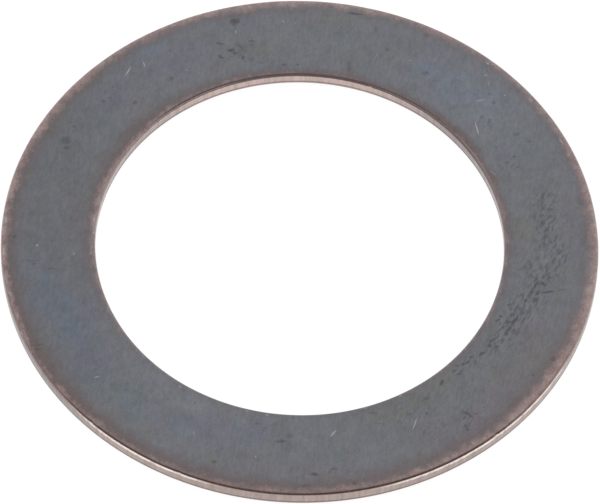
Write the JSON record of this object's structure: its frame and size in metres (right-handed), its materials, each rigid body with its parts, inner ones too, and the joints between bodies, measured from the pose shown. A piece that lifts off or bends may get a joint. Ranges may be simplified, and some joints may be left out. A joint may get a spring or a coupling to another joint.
{
  "type": "shim ring",
  "caption": "Thin flat steel shim ring with a plain bore and blanked edges, for taking up axial play between a shaft and a housing.",
  "frame": {"origin": "centre of the bore at the bottom face, which is the face away from the rounded edges", "axes": "+Z along the bore axis, from the bottom face towards the top face with the rounded edges"},
  "size_m": [0.019, 0.019, 0.0005],
  "materials": {
    "oxidised_steel": "satin"
  },
  "bodies": {
    "root": {"shim_ring": "oxidised_steel"}
  },
  "joints": []
}
